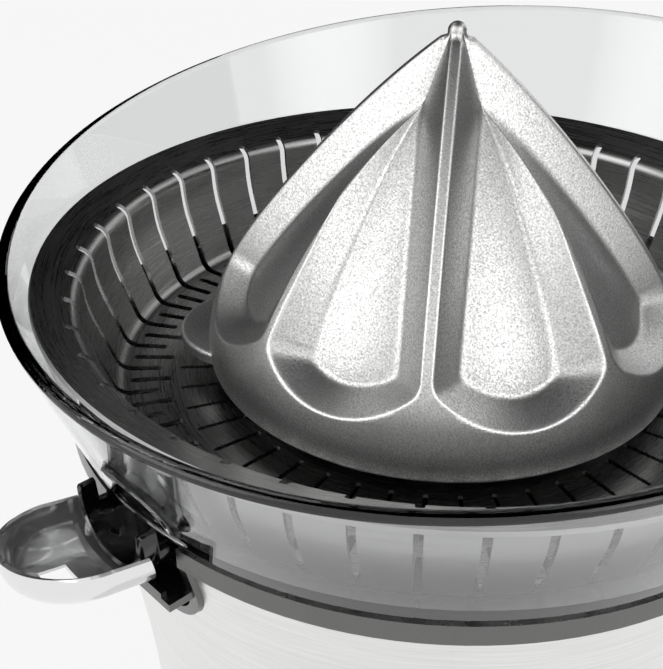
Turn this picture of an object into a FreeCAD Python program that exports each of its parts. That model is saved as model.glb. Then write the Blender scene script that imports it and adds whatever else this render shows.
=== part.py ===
import FreeCAD, Part
import math
import os

# Citrus press juicer: a cast cone on a sprung spindle, a steel sieve in a clear bowl with a tilting
# spout, and a steel drum housing with a coaxial motor and two gear stages.
# Millimetres. Z is up, the table is at Z = 0 and the spout points to -Y. The pieces are drawn around the
# spindle as the Z axis, then moved so that the origin is the middle of the object's length.

V = FreeCAD.Vector

# Fits
GAP = 0.3               # between pieces that lift off or pass each other
SNUG = 0.05             # between a screw, pin or bush and its hole
RUN = 0.04              # radial clearance of a turning or sliding fit

# Place
AXIS_Y = 3.2            # spindle behind the middle of the object's length

# Overall sizes
MOUTH_Z = 143.0         # height of the drum's top edge
MOUTH_R = 65.0          # radius of the drum's top edge
BASE_R = 60.0           # radius of the drum at the table
CONE_R = 41.0           # radius of the cone's base
CONE_H = 56.5           # height of the cone
NECK_W = 8.4            # half width of the spout neck
SPINDLE_R = 4.0         # radius of the spindle

# Drum housing
WAIST_R = 0.92 * BASE_R  # narrowest radius of the steel sleeve
WAIST_Z = 0.46 * MOUTH_Z  # height of the waist
FLARE_R = WAIST_R + 1.7  # radius where the sleeve starts to open
FLARE_Z = 0.672 * MOUTH_Z  # height of that place
SLEEVE_T = 0.8          # steel of the sleeve
FOOT_H = 3.0            # feet below the base plate
FOOT_R = 7.5
FOOT_PCD_R = 46.0
PLATE_T = 3.0           # base plate flange under the sleeve
PLATE_STEP = 3.0        # base plate spigot inside the sleeve

# Deck with the spindle tower
BUSH_R = SPINDLE_R + 3.0
DISH_FLOOR_Z = MOUTH_Z - 8.5  # top of the dish floor
DISH_MOUTH_R = MOUTH_R - 2.2  # inner radius at the dish mouth
DISH_FLOOR_R = DISH_MOUTH_R - 3.9  # inner radius at the dish floor
DECK_T = 2.5            # floor thickness
DECK_WALL = 1.3         # wall thickness
TOWER_R = BUSH_R + 4.2
TOWER_TOP_Z = MOUTH_Z + 5.0
BOSS_R = BUSH_R + 3.0   # lower bush boss
BOSS_BOTTOM_Z = MOUTH_Z - 19.0

# Trim ring and its frame around the spout
RING_R = MOUTH_R + 1.0
RING_T = 2.0            # ring above the deck flange
RING_DROP = 1.6         # ring skirt over the deck flange
DECK_FLANGE_T = 1.2
FRAME_W = NECK_W + 2.2  # half width of the U frame outside
FRAME_WALL = 1.6
FRAME_PROUD = 1.0       # frame in front of the sleeve
FRAME_BOTTOM_Z = MOUTH_Z - 15.0
FRAME_IN_R = DISH_FLOOR_R - GAP  # how far the frame reaches into the drum, below the dish
CRADLE_Z = MOUTH_Z - 7.0  # lug below the spout neck
CRADLE_T = 1.4
BAY_BACK_R = FRAME_IN_R - 6.6  # recess behind the U frame
BAY_WALL = 1.5

# Juice bowl
BOWL_EDGE_R = MOUTH_R + 1.1  # outside radius of the wall's lower edge
BOWL_EDGE_Z = MOUTH_Z + 4.4
BOWL_RIM_R = BOWL_EDGE_R + 12.1  # outside radius on the axis plane of the rim
BOWL_RIM_Z = BOWL_EDGE_Z + 32.3  # rim height on the axis
RIM_SLOPE = 0.125       # the rim drops towards the spout
BOWL_T = 2.3            # wall
BOWL_WELL_R = DISH_MOUTH_R - 0.6  # outside of the lower well at its top
BOWL_WELL_BASE_R = DISH_FLOOR_R - 0.7
BOWL_FLOOR_Z = DISH_FLOOR_Z + 1.9  # underside of the floor
BOWL_FLOOR_T = 2.0
BOWL_FOOT_R = BOWL_WELL_BASE_R - 8.2  # standing ring under the floor
COLUMN_R = TOWER_R + 3.3  # column around the tower
COLUMN_T = 2.0
COLUMN_TOP_Z = TOWER_TOP_Z + 3.0
REST_R = BOWL_FOOT_R - 5.0  # rib that carries the sieve
REST_T = 1.8
REST_GAPS = 6           # gaps in that rib
ARCH_W = NECK_W + 0.8   # half width of the moulded arch over the outlet
ARCH_T = 1.8
ARCH_TOP_Z = BOWL_EDGE_Z + 10.1

# Sieve
SIEVE_T = 0.7
SIEVE_DROP = 4.6        # floor below the cone's base
SIEVE_FLOOR_R = BOWL_WELL_R - 4.8
SIEVE_WALL_R = BOWL_WELL_R - 0.2
SIEVE_WALL_H = 12.6     # bend of the wall above the floor
SIEVE_NECK_R = SIEVE_WALL_R + 0.6
SIEVE_NECK_H = 19.0     # shoulder above the floor
SIEVE_RIM_R = SIEVE_WALL_R + 7.8
SIEVE_RIM_H = 22.5
SIEVE_HOLE_R = COLUMN_R + 0.9
SIEVE_COLLAR_H = 2.4
SLOTS = 45
SLOT_W = 1.35
LONG_SLOT = (SIEVE_FLOOR_R - 7.2, SIEVE_NECK_R + 2.6)
FLOOR_SLOT = (SIEVE_FLOOR_R - 9.4, SIEVE_FLOOR_R - 1.8)
INNER_SLOT = (SIEVE_FLOOR_R - 19.4, SIEVE_FLOOR_R - 10.6)
INNER_SLOT_W = 0.8

# Reamer cone
CONE_BASE_Z = MOUTH_Z + 7.0
CONE_SHOULDER = (0.89 * CONE_R, 0.29 * CONE_H)
CONE_MID = (0.63 * CONE_R, 0.556 * CONE_H)
CONE_NOSE = (0.293 * CONE_R, 0.828 * CONE_H)
CONE_TIP_R = 1.2
TIP_R = 1.35            # rounded tip
FLUTE_DEPTH = 4.6
FIN_LAND = 0.75         # half width of a fin's crest
FIN_ROOT = 4.6          # half width of a fin's root
FIN_PROUD = 0.6         # fins are drawn this far past the surface and trimmed to it
FIN_SUNK = 2.0          # and this far into the core
FIN_TURN = 38.8         # azimuth of the first main fin
SHORT_FIN_START = (0.307 * CONE_R, 0.694 * CONE_H)
POCKET_TOP = (0.834 * CONE_R, 0.18 * CONE_H)
POCKET_LIP = (0.973 * CONE_R, 0.096 * CONE_H)
CONE_WALL = 3.2
CONE_HUB_R = SPINDLE_R + 5.0
CONE_HUB_Z = CONE_BASE_Z + 5.0
EAR_R = 12.0            # pulp ears on the base
EAR_REACH = CONE_R + 5.6
EAR_T = 2.4
EAR_TURN = 224.4

# Spout
NECK_BOTTOM_Z = MOUTH_Z - 4.4
NECK_TOP_Z = MOUTH_Z + 3.8
NECK_IN_R = BOWL_WELL_BASE_R - 0.6
NECK_WALL = 1.8
NECK_ROUND = 5.0        # lower edges of the neck in front of the ring
COLLAR_Y = -RING_R - 3.8  # front of the bar over the neck
COLLAR_T = 1.9
COLLAR_TOP_Z = MOUTH_Z + 9.2
CHEEK_Y = COLLAR_Y - 5.5  # how far the cheeks reach along the spout's rim
SPOUT_W = NECK_W - 1.2    # half width of the trough between the cheeks
SPOUT_BACK_Y = COLLAR_Y + 1.8
SPOUT_NOSE_Y = SPOUT_BACK_Y - 20.0
SPOUT_NOSE = 12.0       # length of the oval nose
SPOUT_BOTTOM_Z = NECK_BOTTOM_Z + GAP
SPOUT_TOP_Z = MOUTH_Z + 8.4
SPOUT_RISE = 14.0       # the trough's bottom rises towards the nose
SPOUT_BACK_LEAN = 13.5  # the trough's back edge leans forward
SPOUT_T = 1.0
SPOUT_ROUND = SPOUT_W - 0.9
MOUTH_W = 3.6           # half width of the hole in the trough's bottom
PIVOT_Y = SPOUT_BACK_Y - 1.7
PIVOT_Z = SPOUT_BOTTOM_Z + 3.8
PIVOT_R = 0.8

# Drive
PRESS = 3.0             # travel of the spindle
MODULE = 0.8
PINION_TEETH = 12
WHEEL_TEETH = 48
GEAR_BACKLASH = 0.16
SPINDLE_STUB_R = SPINDLE_R - 1.0
SPINDLE_TOP_Z = CONE_BASE_Z + 26.0
DRIVE_Z = CONE_BASE_Z + 2.0  # start of the cone's drive flats
DRIVE_ACROSS = 1.6 * SPINDLE_R  # across the drive flats
OUT_GEAR_Z = BOSS_BOTTOM_Z - 12.0
OUT_GEAR_T = 8.0
THRUST_Z = BOSS_BOTTOM_Z - 18.0
THRUST_T = 3.0
THRUST_R = 15.0
PIN_X = 11.0            # guide pins
PIN_R = 2.0
SPRING_R = 3.3          # mean radius of a return spring
SPRING_WIRE_R = 0.45
SPRING_TURNS = 6
WHEEL_Z = BOSS_BOTTOM_Z - 28.0
WHEEL_T = 6.0
AXLE_R = 3.0
GEAR_PLATE_Z = BOSS_BOTTOM_Z - 38.0
GEAR_PLATE_T = 4.0
GEAR_PLATE_R = 46.0
PILLARS = ((30.0, 24.0), (-30.0, 24.0), (18.0, -30.0), (-18.0, -30.0))
PILLAR_R = 4.5
TIE_RODS = ((38.0, 0.0), (-38.0, 0.0), (0.0, 38.0), (0.0, -38.0))
TIE_R = 2.0
SCREW_R = 1.7
HEAD_R = 3.5
HEAD_T = 2.4

# Motor
MOTOR_R = 28.0
MOTOR_T = 1.5
MOTOR_BOTTOM_Z = GEAR_PLATE_Z - 54.0
CAP_T = 4.0
SHAFT_R = 3.0
ROTOR_R = 15.0
ROTOR_Z = (MOTOR_BOTTOM_Z + 10.0, MOTOR_BOTTOM_Z + 40.0)
AIR_GAP = 0.6
COIL_R = (17.0, 25.0)
COIL_H = 6.0
MOTOR_SCREW_X = 19.0

# Switch and mains inlet
SWITCH_Y = -20.0
SWITCH_SIZE = (20.0, 6.4, 12.5)
PLUNGER_R = 1.5
PLUNGER_LEN = 8.0
GLAND_Z = 18.0
GLAND_R = 5.0
GLAND_FLANGE_R = 7.5
GLAND_FLANGE_T = 2.5
CORD_HOLE_R = 3.3
BLOCK_SIZE = (24.0, 12.0, 11.0)
BLOCK_Y = 34.0

CENTRES = MODULE * (PINION_TEETH + WHEEL_TEETH) / 2
PLATE_Z = FOOT_H
SLEEVE_Z = PLATE_Z + PLATE_T
DECK_FLANGE_Z = MOUTH_Z
RING_Z = DECK_FLANGE_Z + DECK_FLANGE_T
RING_TOP_Z = RING_Z + RING_T
SIEVE_FLOOR_Z = CONE_BASE_Z - SIEVE_DROP
SPRING_BOTTOM_Z = GEAR_PLATE_Z + GEAR_PLATE_T


def cylinder(radius, z0, z1, x=0.0, y=0.0):
    return Part.makeCylinder(radius, z1 - z0, V(x, y, z0))


def tube(outer, inner, z0, z1, x=0.0, y=0.0):
    return cylinder(outer, z0, z1, x, y).cut(cylinder(inner, z0, z1, x, y))


def block(x0, x1, y0, y1, z0, z1):
    return Part.makeBox(x1 - x0, y1 - y0, z1 - z0, V(x0, y0, z0))


def rod_along_x(radius, x0, x1, y, z):
    return Part.makeCylinder(radius, x1 - x0, V(x0, y, z), V(1, 0, 0))


def rod_along_y(radius, y0, y1, x, z):
    return Part.makeCylinder(radius, y1 - y0, V(x, y0, z), V(0, 1, 0))


def turned(shape, degrees):
    copy = shape.copy()
    copy.rotate(V(0, 0, 0), V(0, 0, 1), degrees)
    return copy


def joined(shapes):
    return shapes[0].multiFuse(shapes[1:]).removeSplitter()


def lathe(edges):
    """Solid of revolution about Z of a closed outline drawn in the XZ plane."""
    face = Part.Face(Part.Wire(edges))
    return face.revolve(V(0, 0, 0), V(0, 0, 1), 360)


def outline(points):
    corners = [V(r, 0, z) for r, z in points]
    return [Part.LineSegment(a, b).toShape() for a, b in zip(corners, corners[1:] + corners[:1])]


def turned_outline(points):
    return lathe(outline(points))


def smooth(points):
    """Smooth curve through a few (r, z) points in the XZ plane."""
    curve = Part.BSplineCurve()
    curve.interpolate([V(r, 0, z) for r, z in points])
    return curve


def unit(a, b):
    length = math.hypot(b[0] - a[0], b[1] - a[1])
    return (b[0] - a[0]) / length, (b[1] - a[1]) / length


def set_back(points, distance):
    """The path moved sideways, to the right of its direction, by a distance."""
    ways = [unit(a, b) for a, b in zip(points, points[1:])]
    sides = [(dz, -dr) for dr, dz in ways]
    moved = [(points[0][0] + distance * sides[0][0], points[0][1] + distance * sides[0][1])]
    for corner, (r1, z1), (r2, z2) in zip(points[1:-1], sides, sides[1:]):
        share = distance / (1 + r1 * r2 + z1 * z2)
        moved.append((corner[0] + share * (r1 + r2), corner[1] + share * (z1 + z2)))
    moved.append((points[-1][0] + distance * sides[-1][0], points[-1][1] + distance * sides[-1][1]))
    return moved


def rounded_path(points, radii):
    """Edges along the points, with a tangent arc of the given radius at each inner corner."""
    edges = []
    here = V(points[0][0], 0, points[0][1])
    for before, corner, after, radius in zip(points, points[1:], points[2:], radii):
        back = unit(corner, before)
        ahead = unit(corner, after)
        half = math.acos(back[0] * ahead[0] + back[1] * ahead[1]) / 2
        reach = radius / math.tan(half)
        middle = unit((0, 0), (back[0] + ahead[0], back[1] + ahead[1]))
        depth = radius / math.sin(half) - radius
        start = V(corner[0] + reach * back[0], 0, corner[1] + reach * back[1])
        end = V(corner[0] + reach * ahead[0], 0, corner[1] + reach * ahead[1])
        top = V(corner[0] + depth * middle[0], 0, corner[1] + depth * middle[1])
        edges.append(Part.LineSegment(here, start).toShape())
        edges.append(Part.Arc(start, top, end).toShape())
        here = end
    edges.append(Part.LineSegment(here, V(points[-1][0], 0, points[-1][1])).toShape())
    return edges


def bent_sheet(points, radii, left_turns, thickness):
    """Pressed sheet of revolution: the path is its inner face, the metal lies outside it."""
    back = set_back(points, thickness)
    outer_radii = [r + thickness if left else r - thickness for r, left in zip(radii, left_turns)]
    inner = rounded_path(points, radii)
    outer = rounded_path(back, outer_radii)
    ends = [
        Part.LineSegment(V(points[0][0], 0, points[0][1]), V(back[0][0], 0, back[0][1])).toShape(),
        Part.LineSegment(V(points[-1][0], 0, points[-1][1]), V(back[-1][0], 0, back[-1][1])).toShape(),
    ]
    return lathe(Part.__sortEdges__(inner + outer + ends))


def radial_slot(r0, r1, width, z0, z1):
    """Round-ended slot tool along +X between two radii."""
    half = width / 2
    middle = block(r0 + half, r1 - half, -half, half, z0, z1)
    return joined([middle, cylinder(half, z0, z1, r0 + half), cylinder(half, z0, z1, r1 - half)])


def gear(teeth, z0, height, bore, turn, x=0.0, y=0.0):
    """Spur gear with involute flanks, thinned by the backlash; a tooth points along the turn angle."""
    pitch_r = MODULE * teeth / 2
    base_r = pitch_r * math.cos(math.radians(20))
    tip_r = pitch_r + 0.85 * MODULE
    root_r = pitch_r - 1.1 * MODULE
    half_pitch = math.pi / (2 * teeth) - GEAR_BACKLASH / (4 * pitch_r)

    def spread(radius):
        """Half angle of a tooth at a radius."""
        def roll(r):
            angle = math.acos(min(1.0, base_r / r))
            return math.tan(angle) - angle
        return half_pitch + roll(pitch_r) - roll(max(radius, base_r))

    steps = [root_r] + [max(root_r, base_r) + (tip_r - max(root_r, base_r)) * k / 3 for k in range(4)]
    flank = [(r, spread(r)) for r in steps if r == root_r or r > root_r + 0.01]
    corners = []
    for tooth in range(teeth):
        centre = math.radians(turn) + 2 * math.pi * tooth / teeth
        side = [(r, centre - half) for r, half in flank] + [(r, centre + half) for r, half in reversed(flank)]
        corners += [V(x + r * math.cos(a), y + r * math.sin(a), z0) for r, a in side]
    rim = Part.Face(Part.makePolygon(corners + corners[:1]))
    return rim.extrude(V(0, 0, height)).cut(cylinder(bore, z0, z0 + height, x, y))


def coil_spring(x, y, z0, z1):
    """Compression spring: quarter-turn arcs between flat ends, cut to its length."""
    low = z0 + SPRING_WIRE_R
    rise = (z1 - z0 - 2 * SPRING_WIRE_R) / (4 * SPRING_TURNS)

    def at(quarter):
        angle = math.pi * quarter / 2
        return V(x + SPRING_R * math.cos(angle), y + SPRING_R * math.sin(angle), low + rise * quarter)

    quarters = range(4 * SPRING_TURNS)
    path = Part.Wire([Part.Arc(at(q), at(q + 0.5), at(q + 1)).toShape() for q in quarters])
    ring = Part.Wire(Part.Circle(at(0), V(0, 1, 0), SPRING_WIRE_R).toShape())
    return path.makePipeShell([ring], True, True)


def drum_radius(z):
    """Outside radius of the sleeve at a height, read from its curve."""
    cut = Part.LineSegment(V(0, 0, z), V(2 * MOUTH_R, 0, z)).toShape()
    return drum_curve().toShape().distToShape(cut)[1][0][0].x


def drum_curve(inset=0.0):
    points = [(BASE_R, SLEEVE_Z), (WAIST_R, WAIST_Z), (FLARE_R, FLARE_Z), (MOUTH_R, MOUTH_Z)]
    return smooth([(r - inset, z) for r, z in points])


def frame_tool(half_width, bottom_z, top_z):
    """U shape seen along Y, with round lower corners, reaching out past the ring."""
    body = block(-half_width, half_width, -2 * RING_R, 0, bottom_z, top_z)
    edges = [e for e in body.Edges if abs(e.CenterOfMass.z - bottom_z) < 1e-6]
    sides = [e for e in edges if abs(abs(e.CenterOfMass.x) - half_width) < 1e-6]
    return body.makeFillet(0.8 * half_width, sides)


def make_base():
    foot_places = [(FOOT_PCD_R, 45 + 90 * k) for k in range(4)]
    spigot_r = drum_radius(SLEEVE_Z + PLATE_STEP) - SLEEVE_T - GAP
    plate = joined([
        cylinder(BASE_R, PLATE_Z, SLEEVE_Z),
        cylinder(spigot_r, SLEEVE_Z, SLEEVE_Z + PLATE_STEP),
    ])
    recess = PLATE_T / 2
    feet = []
    for radius, angle in foot_places:
        foot = turned(cylinder(FOOT_R, 0, PLATE_Z + recess, radius), angle)
        plate = plate.cut(turned(cylinder(FOOT_R + SNUG, PLATE_Z, PLATE_Z + recess, radius), angle))
        rim = [e for e in foot.Edges if e.BoundBox.ZMax < 1e-6]
        feet.append(foot.makeFillet(FOOT_H / 4, rim))
    rods = []
    seat_z = PLATE_Z + HEAD_T + GAP
    for x, y in TIE_RODS:
        plate = plate.cut(cylinder(HEAD_R + 1 + SNUG, PLATE_Z, seat_z, x, y))
        plate = plate.cut(cylinder(TIE_R + SNUG, PLATE_Z, SLEEVE_Z + PLATE_STEP, x, y))
        head = cylinder(HEAD_R + 1, seat_z - HEAD_T, seat_z, x, y)
        slot = block(x - 3, x + 3, y - 0.5, y + 0.5, seat_z - HEAD_T, seat_z - HEAD_T / 2)
        shank = cylinder(TIE_R, seat_z, GEAR_PLATE_Z + GEAR_PLATE_T, x, y)
        rods.append(joined([head.cut(slot), shank]))
    return {"base_plate": plate, "rubber_feet": Part.makeCompound(feet), "tie_rods": Part.makeCompound(rods)}


def make_sleeve():
    outer = drum_curve().toShape()
    inner = drum_curve(SLEEVE_T).toShape()
    ends = [
        Part.LineSegment(V(r, 0, z), V(r - SLEEVE_T, 0, z)).toShape()
        for r, z in ((BASE_R, SLEEVE_Z), (MOUTH_R, MOUTH_Z))
    ]
    sleeve = lathe(Part.__sortEdges__([outer, inner] + ends))
    sleeve = sleeve.cut(frame_tool(FRAME_W + SNUG, FRAME_BOTTOM_Z - SNUG, MOUTH_Z + 1))
    return {"housing_sleeve": sleeve.cut(rod_along_y(GLAND_R + SNUG, 0, 2 * BASE_R, 0, GLAND_Z))}


def make_ring():
    skirt_z = RING_Z - RING_DROP
    ring_in = DISH_MOUTH_R + DECK_WALL + SNUG
    ring = turned_outline([
        (ring_in, RING_Z), (MOUTH_R + SNUG, RING_Z), (MOUTH_R + SNUG, skirt_z),
        (RING_R, skirt_z), (RING_R, RING_TOP_Z), (ring_in, RING_TOP_Z),
    ])
    inside_w = FRAME_W - FRAME_WALL
    levels = [FRAME_BOTTOM_Z + (MOUTH_Z - FRAME_BOTTOM_Z) * k / 6 for k in range(7)]
    front = smooth([(drum_radius(z) + FRAME_PROUD, z) for z in levels]).toShape()
    corners = [
        (drum_radius(MOUTH_Z) + FRAME_PROUD, MOUTH_Z), (RING_R, RING_TOP_Z), (FRAME_IN_R, RING_TOP_Z),
        (FRAME_IN_R, FRAME_BOTTOM_Z), (drum_radius(FRAME_BOTTOM_Z) + FRAME_PROUD, FRAME_BOTTOM_Z),
    ]
    band = lathe(Part.__sortEdges__([front] + outline(corners)[:-1]))
    frame = band.common(frame_tool(FRAME_W, FRAME_BOTTOM_Z, RING_TOP_Z)).cut(dish_tool(GAP))
    mouth = frame_tool(inside_w, FRAME_BOTTOM_Z + FRAME_WALL, RING_TOP_Z + 1)
    ring = joined([ring, frame]).cut(mouth)
    cradle_y = -RING_R + 6
    lip_y = -RING_R - 2
    cradle = block(-inside_w - 1, inside_w + 1, lip_y, cradle_y, CRADLE_Z, CRADLE_Z + CRADLE_T)
    lip = block(-inside_w + 1, inside_w - 1, lip_y, lip_y + 1, CRADLE_Z, NECK_BOTTOM_Z - GAP)
    reach = cylinder(RING_R + 3, CRADLE_Z, CRADLE_Z + CRADLE_T)
    cradle = cradle.common(reach).cut(dish_tool(GAP))
    return {"top_ring": joined([ring, cradle, lip])}


def dish_tool(clearance):
    """Room that the deck's dish takes up, with a clearance around it."""
    low = DISH_FLOOR_Z - DECK_T - clearance
    wide = DISH_MOUTH_R + DECK_WALL
    return turned_outline([
        (0, low), (DISH_FLOOR_R + DECK_WALL + clearance, low), (DISH_MOUTH_R + clearance, DECK_FLANGE_Z),
        (wide + SNUG, RING_Z), (wide + SNUG, 2 * RING_TOP_Z), (0, 2 * RING_TOP_Z),
    ])


def make_deck():
    floor_bottom = DISH_FLOOR_Z - DECK_T
    flange_top = DECK_FLANGE_Z + DECK_FLANGE_T
    dish = turned_outline([
        (BUSH_R, floor_bottom), (DISH_FLOOR_R + DECK_WALL, floor_bottom),
        (DISH_MOUTH_R, DECK_FLANGE_Z), (MOUTH_R, DECK_FLANGE_Z), (MOUTH_R, flange_top),
        (DISH_MOUTH_R + DECK_WALL, flange_top), (DISH_MOUTH_R + DECK_WALL, RING_TOP_Z),
        (DISH_MOUTH_R, RING_TOP_Z), (DISH_FLOOR_R, DISH_FLOOR_Z), (BUSH_R, DISH_FLOOR_Z),
    ])
    tower = tube(TOWER_R, BUSH_R, DISH_FLOOR_Z, TOWER_TOP_Z)
    boss = tube(BOSS_R, BUSH_R, BOSS_BOTTOM_Z, floor_bottom)
    axle_boss = tube(AXLE_R + 2.5, AXLE_R + SNUG, BOSS_BOTTOM_Z, floor_bottom, 0, CENTRES)
    pillar_bottom = GEAR_PLATE_Z + GEAR_PLATE_T
    pillars = [
        tube(PILLAR_R, SCREW_R + SNUG, pillar_bottom, pillar_bottom + 16, x, y).fuse(
            cylinder(PILLAR_R, pillar_bottom + 16, floor_bottom, x, y))
        for x, y in PILLARS
    ]
    inside_w = FRAME_W - FRAME_WALL
    bay_bottom = FRAME_BOTTOM_Z + FRAME_WALL
    outside_w = inside_w + BAY_WALL
    bay = block(-outside_w, outside_w, -FRAME_IN_R, -BAY_BACK_R + BAY_WALL, bay_bottom - BAY_WALL, DISH_FLOOR_Z)
    bay = bay.common(cylinder(FRAME_IN_R - GAP, 0, RING_TOP_Z))
    room = block(-inside_w, inside_w, -RING_R, -BAY_BACK_R, bay_bottom, RING_TOP_Z + 1)
    doorway = frame_tool(FRAME_W + GAP, FRAME_BOTTOM_Z - GAP, RING_TOP_Z + 1).cut(dish_tool(0.0))
    lip = block(-FRAME_W - GAP, FRAME_W + GAP, -RING_R, 0, DECK_FLANGE_Z, RING_TOP_Z + 1)
    lip = lip.cut(cylinder(DISH_MOUTH_R, 0, 2 * RING_TOP_Z))
    shell = joined([dish, tower, boss, axle_boss] + pillars).cut(doorway).cut(lip)
    return {"deck": joined([shell, bay]).cut(room)}


def bowl_rim_cut():
    """Half space above the slanted rim plane."""
    lid = block(-200, 200, -200, 200, 0, 200)
    lid.rotate(V(0, 0, 0), V(1, 0, 0), math.degrees(math.atan(RIM_SLOPE)))
    lid.translate(V(0, 0, BOWL_RIM_Z))
    return lid


def arch_tool(half_width, top_z):
    """Round-topped doorway seen along Y."""
    body = block(-half_width, half_width, -RING_R - 9, -SIEVE_FLOOR_R, BOWL_EDGE_Z + 0.2, top_z)
    corners = [e for e in body.Edges if e.BoundBox.ZMin > top_z - 1e-6]
    corners = [e for e in corners if abs(abs(e.CenterOfMass.x) - half_width) < 1e-6]
    return body.makeFillet(0.75 * half_width, corners)


def make_bowl():
    flare = (BOWL_RIM_R - BOWL_EDGE_R) / (BOWL_RIM_Z - BOWL_EDGE_Z)
    tall_z = BOWL_RIM_Z + 2 * RIM_SLOPE * BOWL_RIM_R
    tall_r = BOWL_EDGE_R + flare * (tall_z - BOWL_EDGE_Z)
    inside_z = BOWL_EDGE_Z + BOWL_T
    inside_r = BOWL_EDGE_R + flare * BOWL_T - BOWL_T
    floor_top = BOWL_FLOOR_Z + BOWL_FLOOR_T
    well_t = 2.0
    wall = [
        (COLUMN_R, BOWL_FLOOR_Z), (BOWL_WELL_BASE_R, BOWL_FLOOR_Z), (BOWL_WELL_R, BOWL_EDGE_Z),
        (BOWL_EDGE_R, BOWL_EDGE_Z), (tall_r, tall_z), (tall_r - BOWL_T, tall_z),
        (inside_r, inside_z), (BOWL_WELL_R - well_t, BOWL_EDGE_Z),
        (BOWL_WELL_BASE_R - well_t, floor_top), (COLUMN_R, floor_top),
    ]
    shell = turned_outline(wall)
    solid_inside = turned_outline([(0, BOWL_FLOOR_Z), (COLUMN_R, BOWL_FLOOR_Z)] + wall[1:5] + [(0, tall_z)])
    column = tube(COLUMN_R, COLUMN_R - COLUMN_T, BOWL_FLOOR_Z, COLUMN_TOP_Z)
    rest = tube(REST_R, REST_R - REST_T, floor_top, SIEVE_FLOOR_Z - SIEVE_T)
    for k in range(REST_GAPS):
        gap = block(0, 2 * REST_R, -4, 4, floor_top + 1, RING_TOP_Z)
        rest = rest.cut(turned(gap, 360 * (k + 0.5) / REST_GAPS))
    foot = tube(BOWL_FOOT_R + 1, BOWL_FOOT_R - 1, DISH_FLOOR_Z, BOWL_FLOOR_Z)
    sieve_room = cylinder(SIEVE_WALL_R + SIEVE_T + 2 * GAP, SIEVE_FLOOR_Z, tall_z)
    arch = arch_tool(ARCH_W, ARCH_TOP_Z).cut(arch_tool(ARCH_W - ARCH_T, ARCH_TOP_Z - ARCH_T))
    arch = arch.common(solid_inside).cut(sieve_room)
    bowl = joined([shell, column, rest, foot, arch])
    outlet = block(-NECK_W - SNUG, NECK_W + SNUG, -RING_R, -NECK_IN_R + 2, NECK_BOTTOM_Z - SNUG, NECK_TOP_Z + SNUG)
    bowl = bowl.cut(outlet).cut(bowl_rim_cut())
    rim = [e for e in bowl.Edges if e.BoundBox.ZMin > BOWL_RIM_Z - RIM_SLOPE * 1.2 * BOWL_RIM_R]
    return {"juice_bowl": bowl.makeFillet(0.9, rim)}


def make_sieve():
    floor = SIEVE_FLOOR_Z
    path = [
        (SIEVE_HOLE_R, floor + SIEVE_COLLAR_H), (SIEVE_HOLE_R, floor), (SIEVE_FLOOR_R, floor),
        (SIEVE_WALL_R, floor + SIEVE_WALL_H), (SIEVE_NECK_R, floor + SIEVE_NECK_H),
        (SIEVE_RIM_R, floor + SIEVE_RIM_H),
    ]
    sheet = bent_sheet(path, [1.0, 3.0, 22.0, 2.6], [True, True, True, False], SIEVE_T)
    low = floor - 2 * SIEVE_T
    high = floor + SIEVE_RIM_H
    kinds = (
        (LONG_SLOT, SLOT_W, 0.0, high),
        (FLOOR_SLOT, SLOT_W, 0.5, floor + SIEVE_T),
        (INNER_SLOT, INNER_SLOT_W, 0.0, floor + SIEVE_T),
    )
    tools = []
    for (r0, r1), width, shift, top in kinds:
        tool = radial_slot(r0, r1, width, low, top)
        tools += [turned(tool, -90 + 360 * (k + shift) / SLOTS) for k in range(SLOTS)]
    return {"sieve_basket": sheet.cut(Part.makeCompound(tools))}


def dome(points):
    """Solid under a smooth profile turned about the axis."""
    lifted = [(r, CONE_BASE_Z + z) for r, z in points]
    tip = lifted[-1]
    corners = [V(tip[0], 0, tip[1]), V(0, 0, tip[1]), V(0, 0, CONE_BASE_Z), V(lifted[0][0], 0, CONE_BASE_Z)]
    sides = [(a, b) for a, b in zip(corners, corners[1:]) if a.distanceToPoint(b) > 1e-6]
    return lathe([smooth(lifted).toShape()] + [Part.LineSegment(a, b).toShape() for a, b in sides])


def inner_dome(depth):
    """The crest profile moved inwards by a depth, ending on the axis."""
    crest = smooth([(CONE_R, 0.0), CONE_SHOULDER, CONE_MID, CONE_NOSE, (CONE_TIP_R, CONE_H)])
    first, last = crest.FirstParameter, crest.LastParameter
    points = []
    for share in (0.0, 0.15, 0.35, 0.55, 0.75, 0.88):
        at = first + share * (last - first)
        place = crest.value(at)
        way = crest.tangent(at)[0]
        points.append((place.x - depth * way.z, place.z + depth * way.x))
    points[0] = (CONE_R - depth, 0.0)
    return points + [(0.0, CONE_H - 1.35 * depth)]


def fin_width(depth):
    """Half width of a fin at a depth below the crest surface."""
    return FIN_LAND + (FIN_ROOT - FIN_LAND) * depth / FLUTE_DEPTH


def fin_section(edges, first, last, y, back_x):
    corners = [last, V(back_x, y, last.z), V(back_x, y, CONE_BASE_Z), first]
    return Part.Wire(edges + [Part.LineSegment(a, b).toShape() for a, b in zip(corners, corners[1:])])


def main_fin_section(depth, y):
    places = [V(r, y, CONE_BASE_Z + z) for r, z in inner_dome(depth)]
    curve = Part.BSplineCurve()
    curve.interpolate(places)
    return fin_section([curve.toShape()], places[0], places[-1], y, -2.0)


def short_fin_section(depth, y):
    path = [(CONE_R + 1.2, 0.0), (CONE_SHOULDER[0] + 0.8, CONE_SHOULDER[1] + FIN_PROUD), SHORT_FIN_START]
    places = [V(r, y, CONE_BASE_Z + max(z, 0.0)) for r, z in set_back(path, -depth)]
    places[0].z = CONE_BASE_Z
    edges = [Part.LineSegment(a, b).toShape() for a, b in zip(places, places[1:])]
    return fin_section(edges, places[0], places[-1], y, 5.0)


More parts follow.
